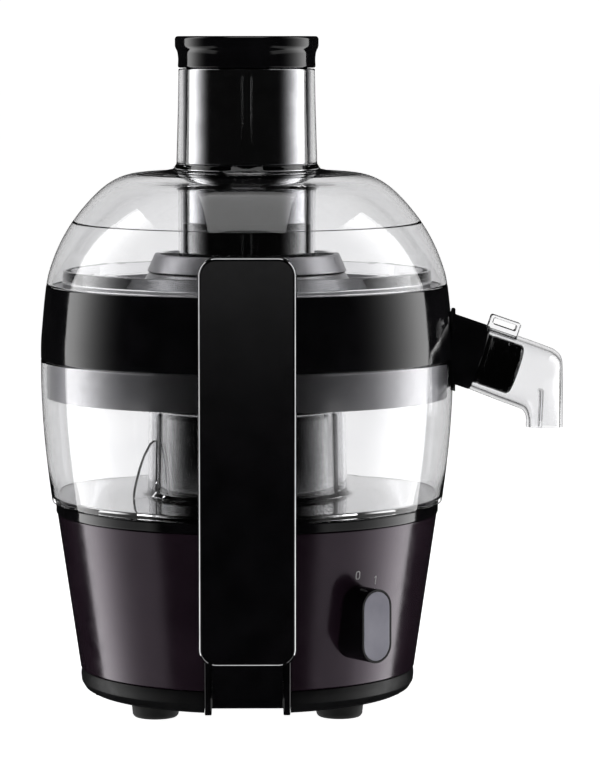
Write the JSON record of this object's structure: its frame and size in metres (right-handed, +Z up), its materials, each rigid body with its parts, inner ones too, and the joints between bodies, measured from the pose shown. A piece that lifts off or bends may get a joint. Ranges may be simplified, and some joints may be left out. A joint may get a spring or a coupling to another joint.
{
  "type": "centrifugal juicer",
  "caption": "Centrifugal juicer: dark motor base with a knob, clear pulp container and domed lid, juice collector with spout, spinning sieve, feed tube with pusher and two locking arms.",
  "frame": {"origin": "middle of the bottom of the bounding box, on the surface that the feet stand on", "axes": "+Z up along the sieve's axis, +X towards the juice spout, the control knob and the front locking arm face -Y"},
  "size_m": [0.2772, 0.2384, 0.354],
  "materials": {
    "base_gloss": "high-gloss dark aubergine plastic",
    "gloss_black": "high-gloss black plastic",
    "satin_black": "satin black plastic",
    "clear_plastic": "clear polished plastic",
    "silver_plastic": "silver-grey plastic",
    "metallised": "bright metallised plastic",
    "knob_grey": "satin mid-grey plastic",
    "rubber": "moulded black rubber",
    "sieve_steel": "perforated stainless steel",
    "steel": "ground steel",
    "dark_steel": "oiled dark steel",
    "copper": "enamelled copper",
    "carbon": "moulded black thermoset"
  },
  "bodies": {
    "base": {"base_shell": "base_gloss", "motor_cover": "gloss_black", "bottom_cover": "satin_black", "cord_gland": "rubber", "foot_front_left": "rubber", "foot_front_right": "rubber", "foot_rear_left": "rubber", "foot_rear_right": "rubber", "bottom_screw_1": "dark_steel", "bottom_screw_2": "dark_steel", "bottom_screw_3": "dark_steel", "bottom_screw_4": "dark_steel", "front_arm_bracket": "satin_black", "rear_arm_bracket": "satin_black", "front_hinge_pin": "steel", "rear_hinge_pin": "steel", "front_safety_switch": "carbon", "rear_safety_switch": "carbon", "switch_body": "carbon", "motor_stator": "dark_steel", "motor_upper_bracket": "dark_steel", "motor_lower_bracket": "dark_steel", "upper_bearing": "steel", "lower_bearing": "steel", "brush_holder_left": "carbon", "brush_holder_right": "carbon", "carbon_brush_left": "carbon", "carbon_brush_right": "carbon", "field_coil_left": "copper", "field_coil_right": "copper"},
    "rotor": {"motor_shaft": "steel", "rotor_core": "dark_steel", "commutator": "copper", "cooling_fan": "satin_black", "drive_coupling": "satin_black"},
    "knob": {"knob": "gloss_black", "knob_face": "knob_grey", "knob_spindle": "satin_black"},
    "front_arm": {"front_arm_core": "gloss_black", "front_arm_cover": "gloss_black", "front_arm_trim": "metallised", "front_arm_catch": "satin_black"},
    "rear_arm": {"rear_arm_core": "gloss_black", "rear_arm_cover": "gloss_black", "rear_arm_trim": "metallised", "rear_arm_catch": "satin_black"},
    "container": {"pulp_container": "clear_plastic"},
    "collector": {"collector_band": "gloss_black", "collector_bowl": "silver_plastic", "outlet_nozzle": "satin_black"},
    "sieve": {"sieve_rim": "silver_plastic", "sieve_cone": "sieve_steel", "sieve_base": "satin_black", "grater_disc": "sieve_steel"},
    "lid": {"lid": "clear_plastic"},
    "pusher": {"pusher_body": "metallised", "pusher_cap": "gloss_black"},
    "spout": {"spout": "clear_plastic"}
  },
  "joints": [
    {"name": "rotor_spin", "type": "hinge", "parent": "base", "child": "rotor", "pos_m": [-0.0293, 0, 0.09], "axis": [0, 0, 1], "continuous": true},
    {"name": "knob_turn", "type": "hinge", "parent": "base", "child": "knob", "pos_m": [0.02948, -0.0809, 0.054], "axis": [-0.5878, 0.809, 0], "range_deg": [0, 30]},
    {"name": "front_arm_swing", "type": "hinge", "parent": "base", "child": "front_arm", "pos_m": [-0.0293, -0.08, 0.022], "axis": [1, 0, 0], "range_deg": [0, 35]},
    {"name": "rear_arm_swing", "type": "hinge", "parent": "base", "child": "rear_arm", "pos_m": [-0.0293, 0.08, 0.022], "axis": [-1, 0, 0], "range_deg": [0, 35]},
    {"name": "container_lift", "type": "slide", "parent": "base", "child": "container", "axis": [0, 0, 1], "range_m": [0, 0.07]},
    {"name": "collector_lift", "type": "slide", "parent": "container", "child": "collector", "axis": [0, 0, 1], "range_m": [0, 0.05]},
    {"name": "sieve_spin", "type": "hinge", "parent": "collector", "child": "sieve", "pos_m": [-0.0293, 0, 0.2], "axis": [0, 0, 1], "continuous": true},
    {"name": "lid_lift", "type": "slide", "parent": "collector", "child": "lid", "axis": [0, 0, 1], "range_m": [0, 0.06]},
    {"name": "pusher_slide", "type": "slide", "parent": "lid", "child": "pusher", "axis": [0, 0, 1], "range_m": [0, 0.15]},
    {"name": "spout_pull", "type": "slide", "parent": "collector", "child": "spout", "axis": [0.9455, 0, -0.3256], "range_m": [0, 0.03]}
  ],
  "couplings": [
    {"joint": "sieve_spin", "follows": "rotor_spin", "ratio": 1}
  ]
}
